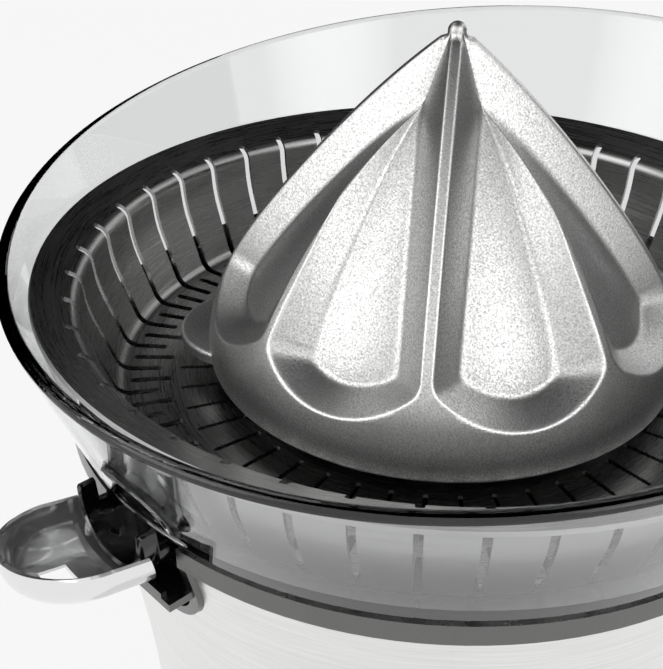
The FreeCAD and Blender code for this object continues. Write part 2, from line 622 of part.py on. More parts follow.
def fin(section, proud, deep):
    """Tapering rib along +X: a narrow crest above the cone's surface and a wide root inside the core."""
    narrow = fin_width(-FIN_PROUD)
    wide = fin_width(FLUTE_DEPTH + FIN_SUNK)
    sections = [section(deep, -wide), section(proud, -narrow), section(proud, narrow), section(deep, wide)]
    return Part.makeLoft(sections, True, True)


def make_cone():
    envelope = dome([(CONE_R, 0.0), CONE_SHOULDER, CONE_MID, CONE_NOSE, (CONE_TIP_R, CONE_H)])
    middle = dome(inner_dome(FLUTE_DEPTH))
    sunk = FLUTE_DEPTH + FIN_SUNK
    main = envelope.common(fin(main_fin_section, -FIN_PROUD, sunk))
    short = envelope.common(fin(short_fin_section, 0.0, sunk + FIN_PROUD))
    fins = [turned(main, FIN_TURN + 90 * k) for k in range(4)]
    fins += [turned(short, FIN_TURN + 45 + 90 * k) for k in range(4)]
    slope = (POCKET_TOP[1] - POCKET_LIP[1]) / (POCKET_LIP[0] - POCKET_TOP[0])
    foot_r = POCKET_LIP[0] + POCKET_LIP[1] / slope
    inner_r = POCKET_TOP[0] - FLUTE_DEPTH
    skirt = turned_outline([
        (0, CONE_BASE_Z), (foot_r, CONE_BASE_Z),
        (inner_r, CONE_BASE_Z + POCKET_TOP[1] + slope * FLUTE_DEPTH),
        (0, CONE_BASE_Z + POCKET_TOP[1] + slope * FLUTE_DEPTH),
    ])
    body = middle.multiFuse(fins + [envelope.common(skirt)])
    ear = cylinder(EAR_R, CONE_BASE_Z, CONE_BASE_Z + EAR_T, EAR_REACH - EAR_R)
    tip_z = CONE_BASE_Z + CONE_H - TIP_R
    tip = cylinder(TIP_R, tip_z, tip_z + TIP_R).fuse(Part.makeSphere(TIP_R, V(0, 0, tip_z + TIP_R)))
    body = body.multiFuse([turned(ear, EAR_TURN), turned(ear, EAR_TURN + 180), tip])
    hollow = dome(inner_dome(FLUTE_DEPTH + CONE_WALL))
    hub = cylinder(CONE_HUB_R, CONE_HUB_Z, CONE_BASE_Z + CONE_H / 2 + 12)
    socket = cylinder(CONE_HUB_R - 2.5, CONE_BASE_Z, SPINDLE_TOP_Z + 1)
    cone = body.cut(hollow).fuse(hub.common(middle)).cut(socket)
    insert = cylinder(CONE_HUB_R - 2.5 - SNUG, CONE_HUB_Z, SPINDLE_TOP_Z + 1 - SNUG)
    return {"reamer_cone": cone, "drive_insert": insert.cut(drive_shape(SNUG, SPINDLE_TOP_Z + GAP))}


def drive_shape(clearance, top_z):
    """Top of the spindle with two drive flats, and its plain shank below."""
    half = DRIVE_ACROSS / 2 + clearance
    radius = SPINDLE_R + clearance
    flats = cylinder(radius, DRIVE_Z, top_z).common(block(-half, half, -radius, radius, DRIVE_Z, top_z))
    return flats.fuse(cylinder(radius, CONE_BASE_Z - 20, DRIVE_Z + clearance))


def make_spout():
    collar_back = COLLAR_Y + COLLAR_T
    cheek_in = SPOUT_W + GAP
    side = [
        V(0, -NECK_IN_R, NECK_BOTTOM_Z), V(0, COLLAR_Y - 1, NECK_BOTTOM_Z), V(0, CHEEK_Y, SPOUT_TOP_Z - GAP),
        V(0, COLLAR_Y, SPOUT_TOP_Z - GAP), V(0, COLLAR_Y, NECK_TOP_Z), V(0, -NECK_IN_R, NECK_TOP_Z),
    ]
    cheek = Part.Face(Part.makePolygon(side + side[:1])).extrude(V(2 * NECK_W, 0, 0))
    cheek.translate(V(-NECK_W, 0, 0))
    front = block(-NECK_W, NECK_W, 2 * SPOUT_NOSE_Y, -RING_R, NECK_BOTTOM_Z, 2 * NECK_TOP_Z)
    low = [e for e in front.Edges if e.BoundBox.ZMax < NECK_BOTTOM_Z + 0.01 and e.BoundBox.XLength < 0.01]
    front = front.makeFillet(NECK_ROUND, low)
    behind = block(-NECK_W, NECK_W, -RING_R, 0, NECK_BOTTOM_Z, 2 * NECK_TOP_Z)
    collar = block(-NECK_W, NECK_W, COLLAR_Y, collar_back, NECK_BOTTOM_Z, COLLAR_TOP_Z)
    ends = [e for e in collar.Edges if e.BoundBox.ZMin > COLLAR_TOP_Z - 0.01 and e.BoundBox.YLength > COLLAR_T / 2]
    collar = collar.makeFillet(COLLAR_T, ends)
    sieve_low = SIEVE_FLOOR_Z - SIEVE_T - GAP
    sieve_room = turned_outline([
        (0, sieve_low), (SIEVE_FLOOR_R + SIEVE_T + GAP, sieve_low),
        (SIEVE_WALL_R + SIEVE_T + GAP, SIEVE_FLOOR_Z + SIEVE_WALL_H), (0, SIEVE_FLOOR_Z + SIEVE_WALL_H),
    ])
    way = NECK_W - NECK_WALL
    channel = block(-way, way, 2 * SPOUT_NOSE_Y, 0, NECK_BOTTOM_Z + NECK_WALL, NECK_TOP_Z - NECK_WALL)
    spout_room = block(-cheek_in, cheek_in, 2 * SPOUT_NOSE_Y, -RING_R - 3 * GAP, 0, COLLAR_TOP_Z - COLLAR_T)
    open_room = block(-cheek_in, cheek_in, 2 * SPOUT_NOSE_Y, COLLAR_Y, 0, 2 * COLLAR_TOP_Z)
    pivot_x = (SPOUT_W + NECK_W) / 2
    seat = rod_along_x(PIVOT_R + RUN, -pivot_x - RUN, pivot_x + RUN, PIVOT_Y, PIVOT_Z)
    neck = joined([cheek, collar]).common(joined([front, behind]))
    for room in (sieve_room, channel, spout_room, open_room, seat):
        neck = neck.cut(room)
    mouth = block(-MOUTH_W, MOUTH_W, SPOUT_NOSE_Y + 6, SPOUT_NOSE_Y + 11.5, SPOUT_BOTTOM_Z - 1, SPOUT_TOP_Z)
    mouth = mouth.makeFillet(MOUTH_W / 2, [e for e in mouth.Edges if e.BoundBox.ZLength > SPOUT_T])
    back = block(-2 * SPOUT_W, 2 * SPOUT_W, 0, 40, -40, 40)
    back.rotate(V(0, 0, 0), V(1, 0, 0), SPOUT_BACK_LEAN)
    back.translate(V(0, SPOUT_BACK_Y, SPOUT_BOTTOM_Z))
    shell = spout_body(0.0, SPOUT_TOP_Z).cut(spout_body(SPOUT_T, SPOUT_TOP_Z + 5))
    pins = []
    for side in (-1, 1):
        inner, outer = sorted((side * (SPOUT_W - SPOUT_T), side * pivot_x))
        pins.append(rod_along_x(PIVOT_R, inner, outer, PIVOT_Y, PIVOT_Z))
    shell = shell.cut(mouth).cut(back).cut(rod_along_x(PIVOT_R, -NECK_W, NECK_W, PIVOT_Y, PIVOT_Z))
    return {"spout_neck": neck, "spout_shell": shell, "spout_pin": Part.makeCompound(pins)}


def spout_body(inset, top_z):
    """Open trough: straight sides, an oval nose and a rounded bottom that rises towards the nose."""
    half = SPOUT_W - inset
    straight_y = SPOUT_NOSE_Y + SPOUT_NOSE
    back_y = SPOUT_BACK_Y + 10 * inset
    middle = V(0, straight_y, 0)
    oval = Part.Ellipse(V(0, SPOUT_NOSE_Y + inset, 0), V(half, straight_y, 0), middle)
    nose = Part.ArcOfEllipse(oval, -math.pi / 2, math.pi / 2).toShape()
    start, end = sorted((v.Point for v in nose.Vertexes), key=lambda point: point.x)
    sides = [
        nose, Part.LineSegment(end, V(half, back_y, 0)).toShape(),
        Part.LineSegment(V(half, back_y, 0), V(-half, back_y, 0)).toShape(),
        Part.LineSegment(V(-half, back_y, 0), start).toShape(),
    ]
    body = Part.Face(Part.Wire(Part.__sortEdges__(sides))).extrude(V(0, 0, top_z))
    floor = block(-2 * SPOUT_W, 2 * SPOUT_W, -2 * top_z, 2 * top_z, -2 * top_z, 0)
    floor.rotate(V(0, 0, 0), V(1, 0, 0), -SPOUT_RISE)
    floor.translate(V(0, SPOUT_BACK_Y, SPOUT_BOTTOM_Z + inset))
    body = body.cut(floor)
    low_edges = [e for e in body.Edges if e.BoundBox.ZMax < top_z - 1 and e.BoundBox.YMin < back_y - 0.1]
    return body.makeFillet(SPOUT_ROUND - inset, low_edges)


def make_drive():
    gear_top = OUT_GEAR_Z + OUT_GEAR_T
    washer_t = 1.0
    hub_top = BOSS_BOTTOM_Z - washer_t - SNUG
    thrust_top = THRUST_Z + THRUST_T
    output = gear(WHEEL_TEETH, OUT_GEAR_Z, OUT_GEAR_T, SPINDLE_R, 90)
    hub = tube(SPINDLE_R + 3, SPINDLE_R, gear_top, hub_top)
    foot = tube(SPINDLE_R + 3, SPINDLE_R, thrust_top + SNUG, OUT_GEAR_Z)
    spindle = joined([
        cylinder(SPINDLE_STUB_R, THRUST_Z - 1.2, thrust_top + SNUG),
        cylinder(SPINDLE_R, thrust_top + SNUG, CONE_BASE_Z),
        drive_shape(0.0, SPINDLE_TOP_Z),
    ])
    washer = tube(SPINDLE_R + 2.5, SPINDLE_R + SNUG, BOSS_BOTTOM_Z - washer_t, BOSS_BOTTOM_Z)
    lower_bush = tube(BUSH_R - SNUG, SPINDLE_R + RUN, BOSS_BOTTOM_Z, BOSS_BOTTOM_Z + 9)
    upper_bush = tube(BUSH_R - SNUG, SPINDLE_R + RUN, TOWER_TOP_Z - 11, TOWER_TOP_Z - 3)
    seal = turned_outline([
        (SPINDLE_R + RUN, TOWER_TOP_Z - 3), (BUSH_R - SNUG, TOWER_TOP_Z - 3), (BUSH_R - SNUG, TOWER_TOP_Z),
        (SPINDLE_R + 1.6, TOWER_TOP_Z), (SPINDLE_R + 1.6, TOWER_TOP_Z - 1.8), (SPINDLE_R + RUN, TOWER_TOP_Z - 1),
    ])
    plate = cylinder(THRUST_R, THRUST_Z, thrust_top).fuse(
        block(-4, 4, SWITCH_Y - 3, 0, THRUST_Z, thrust_top))
    plate = plate.cut(cylinder(SPINDLE_STUB_R + RUN, THRUST_Z, thrust_top))
    pins = []
    springs = []
    for x in (-PIN_X, PIN_X):
        plate = plate.cut(cylinder(PIN_R + RUN, THRUST_Z, thrust_top, x))
        pins.append(cylinder(PIN_R, GEAR_PLATE_Z, thrust_top - 2 * SNUG, x))
        springs.append(coil_spring(x, 0, SPRING_BOTTOM_Z, THRUST_Z))
    wheel_top = WHEEL_Z + WHEEL_T
    pinion_top = BOSS_BOTTOM_Z - 2
    compound = joined([
        gear(WHEEL_TEETH, WHEEL_Z, WHEEL_T, AXLE_R + RUN, 270, 0, CENTRES),
        gear(PINION_TEETH, wheel_top, pinion_top - wheel_top, AXLE_R + RUN, 285, 0, CENTRES),
        tube(AXLE_R + 3, AXLE_R + RUN, SPRING_BOTTOM_Z + GAP, WHEEL_Z, 0, CENTRES),
    ])
    axle = cylinder(AXLE_R, GEAR_PLATE_Z, BOSS_BOTTOM_Z + 5, 0, CENTRES)
    pinion = gear(PINION_TEETH, WHEEL_Z - 1, WHEEL_T, SHAFT_R, 105)
    return {
        "output_gear": joined([output, hub, foot]), "spindle": spindle, "thrust_washer": washer,
        "lower_bush": lower_bush, "upper_bush": upper_bush, "shaft_seal": seal, "thrust_plate": plate,
        "guide_pins": Part.makeCompound(pins), "return_springs": Part.makeCompound(springs),
        "compound_gear": compound, "idler_axle": axle, "motor_pinion": pinion,
    }


def make_gear_plate():
    top = GEAR_PLATE_Z + GEAR_PLATE_T
    plate = cylinder(GEAR_PLATE_R, GEAR_PLATE_Z, top).cut(cylinder(BUSH_R, GEAR_PLATE_Z, top))
    holes = [(x, 0.0, PIN_R + SNUG) for x in (-PIN_X, PIN_X)]
    holes += [(x, 0.0, SCREW_R + SNUG) for x in (-MOTOR_SCREW_X, MOTOR_SCREW_X)]
    holes += [(x, y, SCREW_R + SNUG) for x, y in PILLARS]
    holes += [(x, y, TIE_R + SNUG) for x, y in TIE_RODS]
    holes.append((0.0, CENTRES, AXLE_R + SNUG))
    for x, y, radius in holes:
        plate = plate.cut(cylinder(radius, GEAR_PLATE_Z, top, x, y))
    deck_screws = [
        cylinder(HEAD_R, GEAR_PLATE_Z - HEAD_T, GEAR_PLATE_Z, x, y).fuse(
            cylinder(SCREW_R, GEAR_PLATE_Z, top + 14, x, y))
        for x, y in PILLARS
    ]
    motor_screws = [
        cylinder(HEAD_R, top, top + HEAD_T, x).fuse(cylinder(SCREW_R, GEAR_PLATE_Z - MOTOR_T, top, x))
        for x in (-MOTOR_SCREW_X, MOTOR_SCREW_X)
    ]
    return {
        "gear_plate": plate, "deck_screws": Part.makeCompound(deck_screws),
        "motor_screws": Part.makeCompound(motor_screws),
    }


def make_motor():
    inner = MOTOR_R - MOTOR_T
    bush_r = SHAFT_R + 3
    can = cylinder(MOTOR_R, MOTOR_BOTTOM_Z, GEAR_PLATE_Z)
    can = can.cut(cylinder(inner, MOTOR_BOTTOM_Z, GEAR_PLATE_Z - MOTOR_T))
    can = can.cut(cylinder(bush_r + SNUG, MOTOR_BOTTOM_Z, GEAR_PLATE_Z))
    for x in (-MOTOR_SCREW_X, MOTOR_SCREW_X):
        can = can.cut(cylinder(SCREW_R + SNUG, MOTOR_BOTTOM_Z, GEAR_PLATE_Z, x))
    for k in range(4):
        vent = turned(block(0, MOTOR_R + 1, -3, 3, MOTOR_BOTTOM_Z + 4, MOTOR_BOTTOM_Z + 8), 45 + 90 * k)
        can = can.cut(vent)
    cap_bottom = MOTOR_BOTTOM_Z - CAP_T
    cap = cylinder(MOTOR_R, cap_bottom, MOTOR_BOTTOM_Z).cut(cylinder(bush_r + SNUG, cap_bottom, MOTOR_BOTTOM_Z))
    low_bush = tube(bush_r, SHAFT_R + RUN, cap_bottom - 1, MOTOR_BOTTOM_Z + 1)
    high_bush = tube(bush_r, SHAFT_R + RUN, GEAR_PLATE_Z - 5, GEAR_PLATE_Z + GEAR_PLATE_T)
    z0, z1 = ROTOR_Z
    shaft = cylinder(SHAFT_R, cap_bottom - 2, WHEEL_Z + WHEEL_T - 1)
    rotor = tube(ROTOR_R, SHAFT_R, z0, z1)
    stator = tube(inner - SNUG, ROTOR_R + AIR_GAP, z0, z1)
    coils = [
        tube(COIL_R[1], COIL_R[0], z0 - COIL_H, z0), tube(COIL_R[1], COIL_R[0], z1, z1 + COIL_H),
    ]
    coils = [coil.makeFillet(COIL_H / 4, coil.Edges) for coil in coils]
    return {
        "motor_can": can, "motor_cap": cap, "motor_lower_bush": low_bush, "motor_upper_bush": high_bush,
        "rotor_shaft": shaft, "rotor_core": rotor, "stator_core": stator,
        "stator_coils": Part.makeCompound(coils),
    }


def make_electrics():
    floor = GEAR_PLATE_Z + GEAR_PLATE_T
    wide, deep, tall = SWITCH_SIZE
    body = block(-wide / 2, wide / 2, SWITCH_Y - deep / 2, SWITCH_Y + deep / 2, floor, floor + tall)
    plunger_top = THRUST_Z - SNUG
    plunger_bottom = plunger_top - PLUNGER_LEN
    well = cylinder(PLUNGER_R + RUN, plunger_bottom - PRESS - GAP, floor + tall, 0, SWITCH_Y)
    plunger = cylinder(PLUNGER_R, plunger_bottom, plunger_top, 0, SWITCH_Y)
    plate_top = SLEEVE_Z + PLATE_STEP
    wide, deep, tall = BLOCK_SIZE
    terminals = block(-wide / 2, wide / 2, BLOCK_Y - deep / 2 - TIE_R - 4, BLOCK_Y + deep / 2 - TIE_R - 4,
                      plate_top, plate_top + tall)
    for k in range(3):
        x = wide * (k - 1) / 3
        y = BLOCK_Y - TIE_R - 4
        terminals = terminals.cut(cylinder(2.0, plate_top + tall - 4, plate_top + tall, x, y))
        terminals = terminals.cut(rod_along_y(1.6, y - deep, y + deep, x, plate_top + tall / 2))
    outer = max(drum_radius(GLAND_Z - GLAND_FLANGE_R), drum_radius(GLAND_Z + GLAND_FLANGE_R))
    inner = drum_radius(GLAND_Z) - SLEEVE_T
    gland = joined([
        rod_along_y(GLAND_FLANGE_R, outer, outer + GLAND_FLANGE_T, 0, GLAND_Z),
        rod_along_y(GLAND_R, inner - 5, outer, 0, GLAND_Z),
    ])
    gland = gland.cut(rod_along_y(CORD_HOLE_R, inner - 6, outer + GLAND_FLANGE_T + 1, 0, GLAND_Z))
    nut = rod_along_y(GLAND_FLANGE_R, inner - 4.5, inner - 1.5, 0, GLAND_Z)
    nut = nut.cut(rod_along_y(GLAND_R + SNUG, inner - 6, inner, 0, GLAND_Z))
    return {
        "switch_body": body.cut(well), "switch_plunger": plunger, "terminal_block": terminals,
        "cord_gland": gland, "gland_nut": nut,
    }


def make_parts():
    pieces = {}
    makers = (
        make_base, make_sleeve, make_ring, make_deck, make_bowl, make_sieve, make_cone, make_spout,
        make_drive, make_gear_plate, make_motor, make_electrics,
    )
    for maker in makers:
        pieces.update(maker())
    return pieces


os.makedirs("parts", exist_ok=True)
for name, shape in make_parts().items():
    solids = len(shape.Solids)
    print(f"{name:18s} valid {shape.isValid()} solids {solids} volume {shape.Volume:.1f}")
    shape.translate(V(0, AXIS_Y, 0))
    shape.exportStep(f"parts/{name}.step")
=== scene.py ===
import bmesh
import bpy
import math
from mathutils import Matrix, Vector


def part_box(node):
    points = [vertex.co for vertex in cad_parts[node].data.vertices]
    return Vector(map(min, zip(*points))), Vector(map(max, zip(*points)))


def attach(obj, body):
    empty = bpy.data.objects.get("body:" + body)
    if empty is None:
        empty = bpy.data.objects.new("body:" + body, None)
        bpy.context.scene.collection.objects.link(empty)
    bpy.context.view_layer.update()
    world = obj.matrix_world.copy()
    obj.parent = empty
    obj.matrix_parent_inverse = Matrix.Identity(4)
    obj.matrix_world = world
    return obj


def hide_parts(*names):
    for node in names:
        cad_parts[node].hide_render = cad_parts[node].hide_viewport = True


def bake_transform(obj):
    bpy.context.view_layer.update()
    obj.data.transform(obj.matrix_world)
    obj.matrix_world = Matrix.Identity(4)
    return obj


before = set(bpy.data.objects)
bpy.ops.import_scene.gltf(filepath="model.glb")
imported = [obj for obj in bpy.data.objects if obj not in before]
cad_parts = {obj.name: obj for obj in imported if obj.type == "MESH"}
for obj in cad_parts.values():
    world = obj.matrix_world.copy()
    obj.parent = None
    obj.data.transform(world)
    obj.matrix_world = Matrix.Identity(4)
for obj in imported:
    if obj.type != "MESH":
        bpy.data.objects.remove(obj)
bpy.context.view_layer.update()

# Base plate, gland and the other black mouldings of the drum
# Textured ABS, moulded; the plate carries the drum on its step and stands on the feet. The
# spark-eroded texture of the mould gives a dull, slightly uneven sheen.
MM = 0.001
NOISE_LOW, NOISE_HIGH = 0.3, 0.7    # nearly all of a noise lies between these


def colour(code):
    """Linear RGBA of an sRGB hex colour."""
    parts = [int(code[i:i + 2], 16) / 255 for i in (1, 3, 5)]
    return [c / 12.92 if c <= 0.04045 else ((c + 0.055) / 1.055) ** 2.4 for c in parts] + [1.0]


def add(material, kind, inputs=None, **settings):
    """Adds a node: settings are its properties, inputs are values or sockets for its inputs."""
    made = material.node_tree.nodes.new(kind)
    for name, value in settings.items():
        setattr(made, name, value)
    for name, value in (inputs or {}).items():
        if isinstance(value, bpy.types.NodeSocket):
            material.node_tree.links.new(value, made.inputs[name])
        else:
            made.inputs[name].default_value = value
    return made


def new_material(name):
    """Material with an empty node tree."""
    material = bpy.data.materials.new(name)
    material.use_nodes = True
    material.node_tree.nodes.clear()
    return material


def surface(material, inputs):
    """Principled surface of a material."""
    shader = add(material, "ShaderNodeBsdfPrincipled", inputs)
    add(material, "ShaderNodeOutputMaterial", {"Surface": shader.outputs["BSDF"]})


def spread_noise(material, vector, size_mm, low, high, detail=2.0, roughness=0.5):
    """Noise of a size in millimetres: as it is, and spread between two values."""
    noise = add(material, "ShaderNodeTexNoise", {
        "Vector": vector, "Scale": 1 / (size_mm * MM), "Detail": detail, "Roughness": roughness})
    spread = add(material, "ShaderNodeMapRange", {
        "Value": noise.outputs["Fac"], "From Min": NOISE_LOW, "From Max": NOISE_HIGH,
        "To Min": low, "To Max": high})
    return noise.outputs["Fac"], spread.outputs["Result"]


def grain(material, size_mm, low, high):
    """Even grain all over a piece."""
    coords = add(material, "ShaderNodeTexCoord").outputs["Object"]
    return spread_noise(material, coords, size_mm, low, high)


def finish(material, inputs, height, depth_mm):
    """Principled surface with relief of a depth in millimetres."""
    relief = add(material, "ShaderNodeBump", {"Height": height, "Distance": depth_mm * MM})
    surface(material, {**inputs, "Normal": relief.outputs["Normal"]})


def grained(name, code, size_mm, rough, depth_mm, **inputs):
    """Material of one colour, with a grain that shows in its shine and its relief."""
    material = new_material(name)
    fac, shine = grain(material, size_mm, *rough)
    finish(material, {"Base Color": colour(code), "Roughness": shine, **inputs}, fac, depth_mm)
    return material


def paint(names, material):
    """Gives CAD nodes a material."""
    for name in names:
        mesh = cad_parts[name].data
        mesh.materials.clear()
        mesh.materials.append(material)


moulded_abs = grained("moulded_black_abs", "#141414", 0.6, (0.42, 0.6), 0.03, IOR=1.54)
paint(["base_plate", "cord_gland", "gland_nut", "motor_cap", "switch_body"], moulded_abs)

# Rubber feet and shaft seal
# Moulded nitrile rubber: the feet are pressed into the base plate, the seal into the deck's tower.
# The surface is dull with a little bloom.
nitrile = grained("moulded_nitrile_rubber", "#1d1d1c", 1.2, (0.7, 0.88), 0.04, IOR=1.5)
paint(["rubber_feet", "shaft_seal"], nitrile)

# Rods, pins, screws and shafts
# Turned steel, pressed or screwed into the plates. The fine tool marks break up its shine a little.
turned_steel = grained("turned_steel", "#a9a9a8", 0.5, (0.25, 0.38), 0.01, Metallic=1.0)
paint([
    "tie_rods", "deck_screws", "motor_screws", "idler_axle", "guide_pins", "spindle", "rotor_shaft",
    "spout_pin"], turned_steel)

# Return springs
# Coils of spring steel wire that stand on the gear plate, under the thrust plate.
DOUBLES = 1e-6          # metres between points that are merged


def put(name, shape, material, smooth=True):
    """Object of a finished bmesh, in its place and with its material."""
    for face in shape.faces:
        face.smooth = smooth
    mesh = bpy.data.meshes.new(name)
    shape.to_mesh(mesh)
    shape.free()
    mesh.materials.append(material)
    piece = bpy.data.objects.new(name, mesh)
    bpy.context.collection.objects.link(piece)
    return piece


shape = bmesh.new()
shape.from_mesh(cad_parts["return_springs"].data)
bmesh.ops.remove_doubles(shape, verts=shape.verts, dist=DOUBLES)
bmesh.ops.recalc_face_normals(shape, faces=shape.faces)
coils = put("spring_coils", shape, turned_steel)
low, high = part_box("return_springs")
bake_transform(coils)
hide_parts("return_springs")

# Bushes, gears and plates of the drive
# Sintered bronze bushes with a dull pitted shine, milky acetal gears, and pressed sheet with the
# cloudy bloom of zinc plating. They are pressed in, run on their pins or are screwed to the deck.
bronze = grained("sintered_bronze", "#a5835a", 0.3, (0.35, 0.5), 0.02, Metallic=1.0)
paint(["motor_lower_bush", "motor_upper_bush", "lower_bush", "upper_bush", "motor_pinion"], bronze)

acetal = grained("natural_acetal", "#e4e1d8", 0.8, (0.3, 0.42), 0.01, IOR=1.48)
paint([
    "thrust_washer", "terminal_block", "output_gear", "drive_insert", "compound_gear",
    "switch_plunger"], acetal)

zinc = grained("zinc_plated_sheet", "#a3a6a8", 4.0, (0.28, 0.45), 0.01, Metallic=1.0)
paint(["gear_plate", "motor_can", "thrust_plate"], zinc)

# Motor cores and coils
# Stacked electrical sheet, whose edges show as fine level lines, and enamelled copper wire, whose
# turns show as glossy ridges. Both are drawn coarser than the real ones, so that they show.
SHEET_MM = 1.0
WIRE_MM = 0.8

laminations = new_material("stacked_electrical_sheet")
coords = add(laminations, "ShaderNodeTexCoord").outputs["Object"]
sheets = add(
    laminations, "ShaderNodeTexWave", {"Vector": coords, "Scale": 1 / (SHEET_MM * MM) / 2},
    bands_direction="Z")
finish(laminations, {"Base Color": colour("#4b4c4f"), "Metallic": 1.0, "Roughness": 0.45},
       sheets.outputs["Fac"], 0.1)
paint(["stator_core", "rotor_core"], laminations)

winding = new_material("enamelled_copper_wire")
coords = add(winding, "ShaderNodeTexCoord").outputs["Object"]
turns = add(
    winding, "ShaderNodeTexWave", {"Vector": coords, "Scale": 1 / (WIRE_MM * MM) / 2},
    wave_type="RINGS", rings_direction="Z")
finish(winding, {"Base Color": colour("#9a5526"), "Metallic": 1.0, "Roughness": 0.3},
       turns.outputs["Fac"], 0.3)
paint(["stator_coils"], winding)

# Drum sleeve
# Stainless sheet, spun to its waisted form and brushed round and round while it turned, which gives
# it fine level lines. It stands on the base plate's step and is held down by the deck.
AXIS_Y = 3.2            # the spindle's place
DRUM_LINE_MM = 0.4
DRUM_DRIFT_MM = 1.5     # how far the lines change on their way round


def ring_lines(material, spacing_mm, low, high, drift_mm):
    """Lines around the spindle: noise that changes along the profile and hardly around it."""
    coords = add(material, "ShaderNodeTexCoord").outputs["Object"]
    centred = add(
        material, "ShaderNodeVectorMath", {0: coords, 1: (0.0, AXIS_Y * MM, 0.0)},
        operation="SUBTRACT")
    split = add(material, "ShaderNodeSeparateXYZ", {"Vector": centred.outputs["Vector"]}).outputs
    flat = add(material, "ShaderNodeCombineXYZ", {"X": split["X"], "Y": split["Y"]})
    flat = flat.outputs["Vector"]
    radius = add(material, "ShaderNodeVectorMath", {0: flat}, operation="LENGTH")
    way = add(material, "ShaderNodeVectorMath", {0: flat}, operation="NORMALIZE")
    around = add(
        material, "ShaderNodeVectorMath", {0: way.outputs["Vector"], "Scale": drift_mm * MM},
        operation="SCALE")
    along = add(
        material, "ShaderNodeCombineXYZ", {"X": radius.outputs["Value"], "Z": split["Z"]})
    stretched = add(
        material, "ShaderNodeVectorMath",
        {0: along.outputs["Vector"], 1: around.outputs["Vector"]})
    return spread_noise(
        material, stretched.outputs["Vector"], spacing_mm, low, high, detail=3.0, roughness=0.65)


brushed_drum = new_material("brushed_stainless_drum")
fac, rough = ring_lines(brushed_drum, DRUM_LINE_MM, 0.27, 0.34, DRUM_DRIFT_MM)
_, line = ring_lines(brushed_drum, DRUM_LINE_MM, 0.0, 1.0, DRUM_DRIFT_MM)
brushed = add(
    brushed_drum, "ShaderNodeMix", {0: line, 6: colour("#dadad9"), 7: colour("#ebebea")},
    data_type="RGBA")
finish(brushed_drum, {"Base Color": brushed.outputs[2], "Metallic": 1.0, "Roughness": rough},
       fac, 0.004)
paint(["housing_sleeve"], brushed_drum)

# Deck
# Black gloss ABS tray under the bowl, screwed to the gear plate. Its black is painted shade: it shows
# as the dark line of shadow below the bowl, with the sharp highlights of a polished mould.
black_abs_and_painted_shade = grained("gloss_black_abs_and_painted_shade", "#090909", 3.0, (0.1, 0.2), 0.01, IOR=1.54)
# The deck's black is painted shade for the dark line below the bowl; the neck's black is its own
# colour.
paint(["deck"], black_abs_and_painted_shade)

# Trim ring with the spout frame
# Zinc casting with a satin chrome finish, pushed over the deck's edge. The finish gives soft, dim
# highlights.
satin_chrome = grained("satin_chromed_zinc", "#6f6f6e", 0.4, (0.26, 0.36), 0.01, Metallic=1.0)
paint(["top_ring"], satin_chrome)

# Juice bowl
# Clear polycarbonate, injection moulded in one piece and polished, so it is nearly as clear as glass;
# it lifts off the deck.
clear_pc = new_material("clear_polycarbonate")
_, rough = grain(clear_pc, 6.0, 0.005, 0.025)
surface(clear_pc, {
    "Base Color": colour("#e2e3e3"), "Transmission Weight": 1.0, "Roughness": rough, "IOR": 1.585})
paint(["juice_bowl"], clear_pc)

# Spout neck
# Black gloss ABS channel that plugs into the bowl's outlet; its rounded front end lies in the spout,
# and a collar above it covers the spout's back edge.
QUARTER = math.pi / 2
TROUGH_STEPS = 48        # columns across each surface of a trough
TROUGH_FULL = 0.86       # below 1 the section is fuller than an oval
RIM_CROWN = 0.3
TIP_WIDTH = 0.1          # a narrower end section has no room for a face
SHARP_TURN = math.radians(50)
NECK_ROWS = (            # y, half width, bottom, top of the walls
    (-70.6, 8.2, 141.0, 150.2), (-70.3, 8.35, 140.9, 150.5), (-67.9, 8.35, 140.8, 150.5),
    (-67.6, 8.35, 140.8, 146.6), (-65.5, 8.2, 140.5, 146.5), (-60.5, 8.0, 139.6, 146.4))
NECK_WALL = 1.1


def trough(name, loops, material, body, node, hole=None):
    """Skin over trough sections, in millimetres about the spindle, riding on a body for a CAD node.

    hole is a range of sections and a range of columns left open in both surfaces.
    """
    shape = bmesh.new()
    rings = [
        [shape.verts.new(Vector((x, y + AXIS_Y, z)) * MM) for x, y, z in loop] for loop in loops]
    across = 2 * TROUGH_STEPS + 2    # point k of the outer surface faces point across - k
    first_row, end_row, first_column, end_column = hole or (0, 0, 0, 0)
    for i, (ring, after) in enumerate(zip(rings, rings[1:])):
        for k in range(len(ring)):
            column = k - 1 if k <= TROUGH_STEPS else across - k
            if first_row <= i < end_row and first_column <= column < end_column:
                continue
            shape.faces.new((ring[k - 1], ring[k], after[k], after[k - 1]))
    for i in range(first_row, end_row):
        ring, after = rings[i], rings[i + 1]
        for k in (first_column, end_column):
            shape.faces.new((ring[k], after[k], after[across - k], ring[across - k]))
    for k in range(first_column, end_column):
        for ring in (rings[first_row], rings[end_row]):
            shape.faces.new((ring[k], ring[k + 1], ring[across - k - 1], ring[across - k]))
    for ring in (rings[0], rings[-1]):
        if (ring[0].co - ring[TROUGH_STEPS].co).length > TIP_WIDTH * MM:
            shape.faces.new(ring)
    bmesh.ops.remove_doubles(shape, verts=shape.verts, dist=DOUBLES)
    bmesh.ops.dissolve_degenerate(shape, edges=shape.edges, dist=DOUBLES)
    bmesh.ops.recalc_face_normals(shape, faces=shape.faces)
    for edge in shape.edges:
        edge.smooth = edge.calc_face_angle(0.0) < SHARP_TURN
    piece = put(name, shape, material)
    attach(piece, body)
    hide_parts(node)


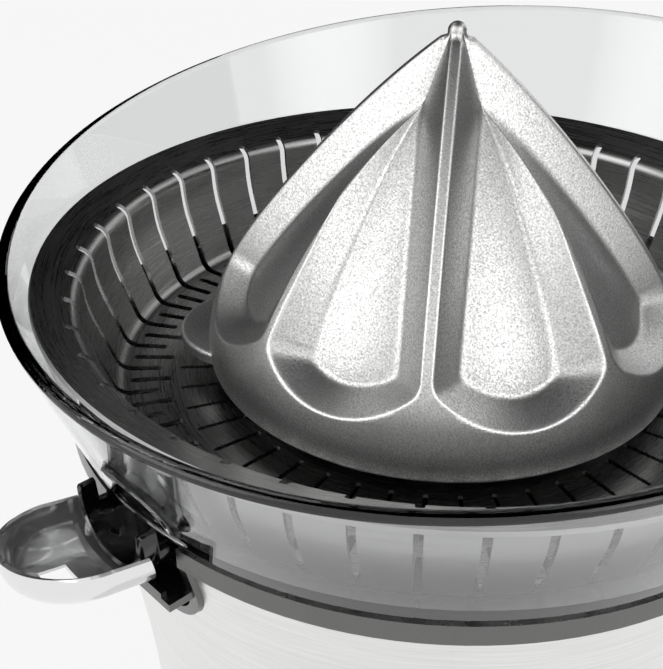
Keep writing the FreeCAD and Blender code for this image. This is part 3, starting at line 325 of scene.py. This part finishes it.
def trough_loop(outside, inside, top, place):
    """Section of an open trough with rounded rims, from (half width, bottom) of its two surfaces.

    place gives a point's y from its height and whether it is on the inside.
    """
    sides = []
    for half, low in (outside, inside):
        side = []
        for k in range(TROUGH_STEPS + 1):
            turn = QUARTER * (2 * k / TROUGH_STEPS - 1)
            out = math.copysign(abs(math.sin(turn)) ** TROUGH_FULL, turn)
            drop = max(math.cos(turn), 0.0) ** TROUGH_FULL
            side.append((half * out, top - (top - low) * drop))
        sides.append(side)
    crown = (outside[0] + inside[0]) / 2
    loop = sides[0] + [(crown, top + RIM_CROWN)] + sides[1][::-1] + [(-crown, top + RIM_CROWN)]
    return [(x, place(z, k > TROUGH_STEPS + 1), z) for k, (x, z) in enumerate(loop)]


loops = []
for y, half, low, top in NECK_ROWS:
    inside = (half - NECK_WALL, low + NECK_WALL)
    loops.append(trough_loop((half, low), inside, top, lambda z, inside, y=y: y))
trough("outlet_neck", loops, black_abs_and_painted_shade, "bowl", "spout_neck")

# Spout
# Zinc casting with a mirror finish of polished chrome: an open trough with a rounded nose and a hole
# in its bottom, hinged on the neck by two stub pins.
SPOUT_HALF = 9.8
SPOUT_WALL = 0.8
SPOUT_BACK_Y = -68.0
SPOUT_LEAN = 0.24        # the back edge leans forward
SPOUT_STRAIGHT_Y = -76.0
SPOUT_NOSE = 11.7
SPOUT_LOW_Z = 138.95
SPOUT_RISE = 0.2         # the bottom rises towards the nose
SPOUT_RIM_Z = 147.4
RIM_RISE = 0.185
NOSE_BLUNT = 0.6         # below 1 the nose keeps its depth for longer
STRAIGHT_STEPS = 12
NOSE_STEPS = 24
SPOUT_HOLE = (13, 20, 19, 29)    # first and end section, first and end column
chrome = new_material("polished_chrome")
_, rough = grain(chrome, 2.0, 0.09, 0.15)
surface(chrome, {"Base Color": colour("#ececec"), "Metallic": 0.82, "Roughness": rough})


def spout_loop(y, share, leaning):
    """Section at a place along the trough; share is 1 up to the nose and falls to 0 at its tip."""
    ahead = SPOUT_BACK_Y - y
    top = SPOUT_RIM_Z + RIM_RISE * ahead
    low = SPOUT_LOW_Z + SPOUT_RISE * ahead
    blunt = share ** NOSE_BLUNT

    def place(z, inside):
        back = SPOUT_LEAN * (z - SPOUT_LOW_Z) * leaning
        return y - back + (SPOUT_WALL * math.sqrt(1 - share * share) if inside else 0.0)

    outside = (SPOUT_HALF * share, top - (top - low) * blunt)
    inside = ((SPOUT_HALF - SPOUT_WALL) * share, top - (top - low - SPOUT_WALL) * blunt)
    return trough_loop(outside, inside, top, place)


loops = []
for k in range(STRAIGHT_STEPS + 1):
    y = SPOUT_BACK_Y + (SPOUT_STRAIGHT_Y - SPOUT_BACK_Y) * k / STRAIGHT_STEPS
    loops.append(spout_loop(y, 1.0, 1 - k / STRAIGHT_STEPS))
for k in range(1, NOSE_STEPS + 1):
    turn = QUARTER * k / NOSE_STEPS
    share = math.cos(turn) if k < NOSE_STEPS else 0.0
    loops.append(spout_loop(SPOUT_STRAIGHT_Y - SPOUT_NOSE * math.sin(turn), share, 0.0))
trough("chrome_spout", loops, chrome, "spout", "spout_shell", hole=SPOUT_HOLE)

# Sieve
# Stainless sheet, drawn, slotted by a press tool and brushed in rings on the inside, which is shinier
# than the drawn outside; the inside's darker colour is painted shade and the outside's lighter colour
# is painted light. It hangs on a rib of the bowl.
SIEVE_DRIFT_MM = 2.0
SIEVE_RELIEF_MM = 0.01
FACING_OUT = 0.3         # a face that turns outwards or down by more than this is outside


def ringed(name, code, spacing_mm, rough):
    """Sieve metal with lines around the spindle."""
    material = new_material(name)
    fac, shine = ring_lines(material, spacing_mm, *rough, SIEVE_DRIFT_MM)
    finish(material, {"Base Color": colour(code), "Metallic": 1.0, "Roughness": shine},
           fac, SIEVE_RELIEF_MM)
    return material


# Inside: a darker copy of the metal, painted shade.
paint(["sieve_basket"], ringed("brushed_sieve_painted_shade", "#a8a8a7", 0.3, (0.22, 0.36)))
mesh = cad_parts["sieve_basket"].data
# Outside and underside faces: a lighter copy of the metal, painted light.
mesh.materials.append(ringed("drawn_sieve_painted_light", "#dededd", 0.6, (0.4, 0.55)))
for face in mesh.polygons:
    out = Vector((face.center.x, face.center.y - AXIS_Y * MM, 0)).normalized()
    if face.normal.dot(out) > FACING_OUT or face.normal.z < -FACING_OUT:
        face.material_index = 1

# Reamer cone
# Aluminium casting, blasted with fine grit: full fins, shorter fins between them and rounded pockets.
# It slides onto the flats of the spindle. The blasting leaves a grain, with painted glints as lighter
# specks; the fruit rubs the convex edges smoother, and a painted highlight makes them lighter.
SPECK_MM = 0.3
cast_aluminium = new_material("blasted_cast_aluminium")
fac, rough = grain(cast_aluminium, SPECK_MM, 0.48, 0.3)
# Lighter specks in the colour: the blasted grain with painted glints.
_, speck_and_glints = grain(cast_aluminium, SPECK_MM, 0.0, 1.0)
# Crests and pocket rims lighter: a painted highlight; the same mask makes them smoother, as rubbed.
wear_and_highlight = add(cast_aluminium, "ShaderNodeAttribute", attribute_name="edge_wear_and_highlight").outputs["Fac"]
blasted_with_glints = add(
    cast_aluminium, "ShaderNodeMix", {0: speck_and_glints, 6: colour("#b4b4b3"), 7: colour("#ececeb")},
    data_type="RGBA")
rubbed_and_lit = add(
    cast_aluminium, "ShaderNodeMix", {0: wear_and_highlight, 6: blasted_with_glints.outputs[2], 7: colour("#f3f3f2")},
    data_type="RGBA")
smoother = add(
    cast_aluminium, "ShaderNodeMath", {0: wear_and_highlight, 1: -0.12, 2: rough}, operation="MULTIPLY_ADD")
finish(
    cast_aluminium,
    {"Base Color": rubbed_and_lit.outputs[2], "Metallic": 1.0, "Roughness": smoother.outputs[0]}, fac, 0.035)

CONE_BASE_Z = 150.0
CREST = ((41.0, 0.0), (36.5, 16.4), (25.8, 31.4), (12.0, 46.8), (1.3, 56.4))   # radius, height
CONE_UNDERSIDE = (       # radius, height: socket for the drive insert, its wall, the hollow, the foot
    (0.0, 27.0), (6.4, 27.0), (6.4, 5.0), (9.0, 5.0), (9.0, 38.0), (20.0, 28.0), (29.0, 14.0),
    (33.0, 0.6), (33.6, 0.0), (40.4, 0.0), (40.8, 0.2))
FLUTE_DEPTH = 4.6
FLUTE_LOW_Z = 0.4        # the fins start above this
FLOOR_BLEND = 0.7        # rounding at the floor of a pocket
CREST_BLEND = 0.3        # rounding at the crests and between two flanks
MOST_DEPTH = 0.96        # share of the way to the spindle
FIN_LAND = 0.85          # half the flat on a fin's crest
FIN_SLOPE = 1.23         # depth gained per millimetre beside the flat
FIN_TURN = math.radians(38.8)
SHORT_TURN = math.radians(46.0)  # from a full fin to the short fin after it
SHORT_FALL_Z = 22.0      # where a short fin starts to sink into the pocket
SHORT_FALL = 0.0093
SHORT_SLOPE_LEAST = 0.9  # a short fin's flanks get steeper with height
SHORT_SLOPE_START = 0.1
SHORT_SLOPE_GAIN = 0.05
POCKET_R = 20.0          # round lower end of a pocket
POCKET_Z = 8.2
POCKET_SLOPE = 1.1
POCKET_BLEND = 1.6
KNOB_R = 1.5
KNOB_Z = 55.8
KNOB_WALL = 0.6
KNOB_DOME = 1.45
KNOB_STEPS = 6
CONE_STEPS = 512
ROW_RUNS = ((0.5, 0.5, 13), (6.8, 0.17, 58), (16.8, 0.5, 78))   # first height, gap, count
COLUMN_STOPS = (0.0, 0.07, 0.33, 0.77, 0.94, 1.0)   # columns up to each edge of the two flanks
SLOPE_STEP = 0.05
CREST_NEAR = 0.01        # a point this near to the crest line is on the finned side
# Painted highlight on the convex edges, with their rubbed, smoother shine: its strength and width.
WEAR_AND_HIGHLIGHT = 0.6
WEAR_AND_HIGHLIGHT_DEPTH = 0.13


def crest_radius(z):
    """Radius of the fin crests at a height above the cone's base: one curve through CREST."""
    total = 0.0
    for r_i, z_i in CREST:
        share = 1.0
        for _, z_j in CREST:
            if z_j != z_i:
                share *= (z - z_j) / (z_i - z_j)
        total += r_i * share
    return total


def soft_min(a, b, blend):
    """Smaller of two depths, with the corner rounded over a blend width."""
    near = max(blend - abs(a - b), 0.0) / blend
    return min(a, b) - near * near * blend / 4


def short_slope(z):
    """Slope of a short fin's flanks at a height."""
    return max(SHORT_SLOPE_LEAST, SHORT_SLOPE_START + SHORT_SLOPE_GAIN * z)


def short_sunk(z):
    """How far a short fin's crest lies below the full fins at a height."""
    return SHORT_FALL * max(z - SHORT_FALL_Z, 0.0) ** 2


def flank_depth(radius, lean, turn, slope):
    """Depth of the surface beside a fin, at an angle from the fin's middle."""
    side = math.sin(min(turn, QUARTER))
    return slope * (radius * side - FIN_LAND) / (1 + slope * lean * side)


def flute_depth(radius, z, lean, turn, sector):
    """Depth below the crests at an angle from a full fin, in the sector up to the next short fin."""
    full = flank_depth(radius, lean, turn, FIN_SLOPE)
    short = flank_depth(radius, lean, sector - turn, short_slope(z)) + short_sunk(z)
    low = min(z - POCKET_Z - POCKET_R, 0.0)
    wall = POCKET_SLOPE * (POCKET_R - math.hypot(radius * (turn - sector / 2), low))
    full, short = soft_min(full, wall, POCKET_BLEND), soft_min(short, wall, POCKET_BLEND)
    return soft_min(full, short, CREST_BLEND)


def flank_turn(width, radius, most):
    """Angle that a width takes up at a radius, up to a most."""
    return min(math.asin(min(width / radius, 1.0)), most)


def column_turn(share, radius, z, sector):
    """Angle of a mesh column from a full fin: columns crowd on the flanks and follow their edges.

    Near the top, where the fins meet, each edge keeps to its own share of the sector.
    """
    land = flank_turn(FIN_LAND, radius, 0.2 * sector)
    foot = flank_turn(FIN_LAND + FLUTE_DEPTH / FIN_SLOPE, radius, 0.6 * sector)
    width = FIN_LAND + max(FLUTE_DEPTH - short_sunk(z), 0.6) / short_slope(z)
    short_foot = flank_turn(width, radius, 0.3 * sector)
    short_land = min(land, 0.3 * short_foot)
    turns = (0.0, land, foot, sector - short_foot, sector - short_land, sector)
    stops = list(zip(COLUMN_STOPS, turns))
    for (share_0, turn_0), (share_1, turn_1) in zip(stops, stops[1:]):
        if share <= share_1:
            return turn_0 + (turn_1 - turn_0) * (share - share_0) / (share_1 - share_0)


shape = bmesh.new()
heights = [start + gap * k for start, gap, count in ROW_RUNS for k in range(count)]
rows = list(CONE_UNDERSIDE) + [(crest_radius(z), z) for z in heights]
rows += [(KNOB_R, KNOB_Z), (KNOB_R, KNOB_Z + KNOB_WALL)]
for k in range(1, KNOB_STEPS):
    turn = QUARTER * k / KNOB_STEPS
    rows.append((KNOB_R * math.cos(turn), KNOB_Z + KNOB_WALL + KNOB_DOME * math.sin(turn)))
rows.append((0.0, KNOB_Z + KNOB_WALL + KNOB_DOME))
corners = []
for r, z in rows:
    x, y = r * math.cos(FIN_TURN), r * math.sin(FIN_TURN) + AXIS_Y
    corners.append(shape.verts.new((x * MM, y * MM, (CONE_BASE_Z + z) * MM)))
edges = [shape.edges.new(pair) for pair in zip(corners, corners[1:])]
bmesh.ops.spin(
    shape, geom=corners + edges, cent=(0, AXIS_Y * MM, 0), axis=(0, 0, 1), angle=2 * math.pi,
    steps=CONE_STEPS, use_merge=True)
bmesh.ops.remove_doubles(shape, verts=shape.verts, dist=1e-7)    # the rows lie close at the top
# Each point's share of the painted edge highlight and the rubbed, smoother shine.
worn_and_lit = shape.verts.layers.float.new("edge_wear_and_highlight")
for vert in shape.verts:
    x, y, z = vert.co.x / MM, vert.co.y / MM - AXIS_Y, vert.co.z / MM - CONE_BASE_Z
    radius = math.hypot(x, y)
    finned = FLUTE_LOW_Z < z < heights[-1] + 0.1
    if not finned or abs(radius - crest_radius(z)) > CREST_NEAR:
        continue
    quarter, rest = divmod((math.atan2(y, x) - FIN_TURN) % (2 * math.pi) + 1e-6, QUARTER)
    share = 2 * rest / QUARTER
    fall = (crest_radius(z + SLOPE_STEP) - crest_radius(z - SLOPE_STEP)) / (2 * SLOPE_STEP)
    length = math.hypot(1.0, fall)
    lean, rise = 1 / length, -fall / length
    if share <= 1:
        sector = SHORT_TURN
        turn = column_turn(share, radius, z, sector)
        angle = FIN_TURN + quarter * QUARTER + turn
    else:
        sector = QUARTER - SHORT_TURN
        turn = column_turn(2 - share, radius, z, sector)
        angle = FIN_TURN + (quarter + 1) * QUARTER - turn
    drop = flute_depth(radius, z, lean, turn, sector)
    vert[worn_and_lit] = WEAR_AND_HIGHLIGHT * math.exp(-(drop / WEAR_AND_HIGHLIGHT_DEPTH) ** 2)
    depth = -soft_min(-soft_min(drop, FLUTE_DEPTH, FLOOR_BLEND), 0.0, CREST_BLEND)
    depth = min(depth, MOST_DEPTH * radius / lean)
    reach = radius - depth * lean
    height = z - depth * rise + CONE_BASE_Z
    vert.co = Vector((reach * math.cos(angle), reach * math.sin(angle) + AXIS_Y, height)) * MM
bmesh.ops.recalc_face_normals(shape, faces=shape.faces)
cone = put("cone_casting", shape, cast_aluminium)
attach(cone, "cone")

# Ears of the cone
# Two flat lobes at the cone's base that stir the pulp, of the same blasted casting as the cone, with
# rounded rims.
EAR_R = 12.0
EAR_REACH = 46.6
EAR_T = 2.4
EAR_ROUND = 0.7
EAR_TURN = math.radians(224.4)
EAR_STEPS = 96
EAR_CORNER = 1.0         # radians; only the rims turn more
shape = bmesh.new()
for turn in (EAR_TURN, EAR_TURN + math.pi):
    place = Matrix.Translation(Vector((0, AXIS_Y, CONE_BASE_Z)) * MM) @ Matrix.Rotation(turn, 4, "Z")
    place = place @ Matrix.Translation(Vector(((EAR_REACH - EAR_R) * MM, 0, 0)))
    disc = bmesh.ops.create_circle(
        shape, cap_ends=True, segments=EAR_STEPS, radius=EAR_R * MM, matrix=place)["verts"]
    raised = bmesh.ops.extrude_face_region(shape, geom=[disc[0].link_faces[0]])["geom"]
    raised = [g for g in raised if isinstance(g, bmesh.types.BMVert)]
    bmesh.ops.translate(shape, vec=(0, 0, EAR_T * MM), verts=raised)
bmesh.ops.recalc_face_normals(shape, faces=shape.faces)
rims = [e for e in shape.edges if e.is_manifold and e.calc_face_angle() > EAR_CORNER]
bmesh.ops.bevel(
    shape, geom=rims, offset=EAR_ROUND * MM, segments=4, profile=0.5, affect="EDGES", material=-1)
ears = put("cone_ears", shape, cast_aluminium)
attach(ears, "cone")
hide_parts("reamer_cone")

# Floor and backdrop
# A sheet of white paper in a white room. The camera, mirrors and the clear bowl see them as white,
# and the floor keeps the object's shadow.
FLOOR_HALF = 6.0
PAPER_GLOW = 0.88        # share of white that the camera sees; the rest is lit paper with its shadow
AMBIENT = 0.35
WHITE = (1, 1, 1, 1)
white_paper = new_material("white_paper")
ray = add(white_paper, "ShaderNodeLightPath").outputs
_, shade = grain(white_paper, 2.0, 0.93, 0.96)
paper = add(white_paper, "ShaderNodeBsdfDiffuse", {"Color": shade})
glow = add(white_paper, "ShaderNodeEmission", {"Color": WHITE, "Strength": 1.0})
seen = add(
    white_paper, "ShaderNodeMath", {0: ray["Is Glossy Ray"], 1: ray["Is Transmission Ray"]},
    operation="MAXIMUM")
seen = add(
    white_paper, "ShaderNodeMath", {0: ray["Is Camera Ray"], 1: PAPER_GLOW, 2: seen.outputs[0]},
    operation="MULTIPLY_ADD", use_clamp=True)
mixed = add(
    white_paper, "ShaderNodeMixShader",
    {"Fac": seen.outputs[0], 1: paper.outputs[0], 2: glow.outputs[0]})
add(white_paper, "ShaderNodeOutputMaterial", {"Surface": mixed.outputs[0]})
shape = bmesh.new()
bmesh.ops.create_grid(shape, x_segments=1, y_segments=1, size=FLOOR_HALF)
floor = put("floor", shape, white_paper, smooth=False)

world = bpy.data.worlds.new("studio")
bpy.context.scene.world = world
world.use_nodes = True
world.node_tree.nodes.clear()
ray = add(world, "ShaderNodeLightPath").outputs
seen = add(
    world, "ShaderNodeMath", {0: ray["Is Camera Ray"], 1: ray["Is Transmission Ray"]},
    operation="MAXIMUM")
seen = add(
    world, "ShaderNodeMath", {0: seen.outputs[0], 1: ray["Is Glossy Ray"]}, operation="MAXIMUM")
backdrop = add(world, "ShaderNodeBackground", {"Color": WHITE, "Strength": 1.0})
ambient = add(world, "ShaderNodeBackground", {"Color": WHITE, "Strength": AMBIENT})
mixed = add(
    world, "ShaderNodeMixShader",
    {"Fac": seen.outputs[0], 1: ambient.outputs[0], 2: backdrop.outputs[0]})
add(world, "ShaderNodeOutputWorld", {"Surface": mixed.outputs[0]})

# Windows
# Two softboxes of white cloth stand in for a window on the left and one on the right. Each fades
# towards its edges, so that highlights have no hard border.
WINDOW_WIDTH = 0.7       # metres, as are the places of the windows and cards
WINDOW_HEIGHT = 1.0
WINDOW_WATTS = 1.7
WINDOW_AIM = Vector((0, 0, 0.18))
FEATHER = 6.0            # keeps a window's light about the same with faded edges
WINDOWS = (("left_window", (-0.30, -0.82, 0.62)), ("right_window", (0.88, -0.16, 0.68)))
for name, place in WINDOWS:
    lamp = bpy.data.lights.new(name, "AREA")
    lamp.shape = "RECTANGLE"
    lamp.size = WINDOW_WIDTH
    lamp.size_y = WINDOW_HEIGHT
    lamp.energy = WINDOW_WATTS
    lamp.use_nodes = True
    lamp.node_tree.nodes.clear()
    across = add(lamp, "ShaderNodeNewGeometry").outputs["Parametric"]
    split = add(lamp, "ShaderNodeSeparateXYZ", {"Vector": across})
    fades = []
    for axis in ("X", "Y"):
        share = split.outputs[axis]
        back = add(lamp, "ShaderNodeMath", {0: 1.0, 1: share}, operation="SUBTRACT")
        arch = add(lamp, "ShaderNodeMath", {0: share, 1: back.outputs[0]}, operation="MULTIPLY")
        fade = add(lamp, "ShaderNodeMath", {0: arch.outputs[0], 1: FEATHER}, operation="MULTIPLY")
        fades.append(fade.outputs[0])
    strength = add(lamp, "ShaderNodeMath", {0: fades[0], 1: fades[1]}, operation="MULTIPLY")
    glow = add(lamp, "ShaderNodeEmission", {"Color": WHITE, "Strength": strength.outputs[0]})
    add(lamp, "ShaderNodeOutputLight", {"Surface": glow.outputs[0]})
    window = bpy.data.objects.new(name, lamp)
    bpy.context.collection.objects.link(window)
    window.location = place
    window.rotation_euler = (WINDOW_AIM - Vector(place)).to_track_quat("-Z", "Y").to_euler()

# Felt cards
# Dark felt on board shades the metal from the sides, from behind and from above, as in a product
# studio. The cards stand outside the picture: only a reflection shows them.
CARDS = (                # name, colour, place, what it faces, width, height
    ("left_card", "#040404", (-0.30, 0.03, 0.23), (0.0, 0.0, 0.21), 0.64, 0.46),
    ("back_card", "#202020", (-0.25, 0.36, 0.46), (0.0, 0.0, 0.16), 0.40, 0.34),
    ("right_card", "#1e1e1e", (0.34, 0.42, 0.24), (0.0, 0.0, 0.18), 0.60, 0.46),
    ("top_card", "#1e1e1e", (-0.05, 0.10, 0.95), (-0.05, 0.09, 0.0), 1.00, 1.00),
)
for name, code, place, facing, width, height in CARDS:
    felt = new_material(name + "_felt")
    _, shade = grain(felt, 1.0, 0.8, 1.0)
    tone = add(
        felt, "ShaderNodeMix", {0: shade, 6: (0, 0, 0, 1), 7: colour(code)}, data_type="RGBA")
    cloth = add(felt, "ShaderNodeBsdfDiffuse", {"Color": tone.outputs[2]})
    clear = add(felt, "ShaderNodeBsdfTransparent")
    mirrored = add(felt, "ShaderNodeLightPath").outputs["Glossy Depth"]
    seen = add(felt, "ShaderNodeMath", {0: mirrored, 1: 0.5}, operation="GREATER_THAN")
    mixed = add(
        felt, "ShaderNodeMixShader",
        {"Fac": seen.outputs[0], 1: clear.outputs[0], 2: cloth.outputs[0]})
    add(felt, "ShaderNodeOutputMaterial", {"Surface": mixed.outputs[0]})
    shape = bmesh.new()
    turned = (Vector(facing) - Vector(place)).to_track_quat("Z", "Y").to_matrix().to_4x4()
    sized = Matrix.Translation(place) @ turned @ Matrix.Diagonal((width / 2, height / 2, 1, 1))
    bmesh.ops.create_grid(shape, x_segments=1, y_segments=1, size=1.0, matrix=sized)
    card = put(name, shape, felt, smooth=False)
    card.visible_camera = False

# Camera
# It stands at the photograph's place, to the front left and above. Its sizes are in millimetres and
# in pixels of the photograph.
PHOTO_WIDTH = 663
FOCAL_PX = 1150.0
SENSOR_WIDTH = 36.0
AZIMUTH = math.radians(47.4)
ELEVATION = math.radians(31.9)
DISTANCE = 206.83
AIM_UP = 1.045           # above the cone's base
AIM_LEFT = 19.467        # of the spindle
right = Vector((math.cos(AZIMUTH), math.sin(AZIMUTH), 0))
level = math.cos(ELEVATION)
away = Vector((math.sin(AZIMUTH) * level, -math.cos(AZIMUTH) * level, math.sin(ELEVATION)))
target = Vector((0, AXIS_Y, CONE_BASE_Z + AIM_UP)) - AIM_LEFT * right
lens = bpy.data.cameras.new("photo_camera")
lens.sensor_fit = "HORIZONTAL"
lens.sensor_width = SENSOR_WIDTH
lens.lens = FOCAL_PX * SENSOR_WIDTH / PHOTO_WIDTH
lens.clip_start = 0.01
camera = bpy.data.objects.new("photo_camera", lens)
bpy.context.collection.objects.link(camera)
camera.location = (target + DISTANCE * away) * MM
camera.rotation_euler = away.to_track_quat("Z", "Y").to_euler()
bpy.context.scene.camera = camera
bpy.context.scene.view_settings.view_transform = "Standard"
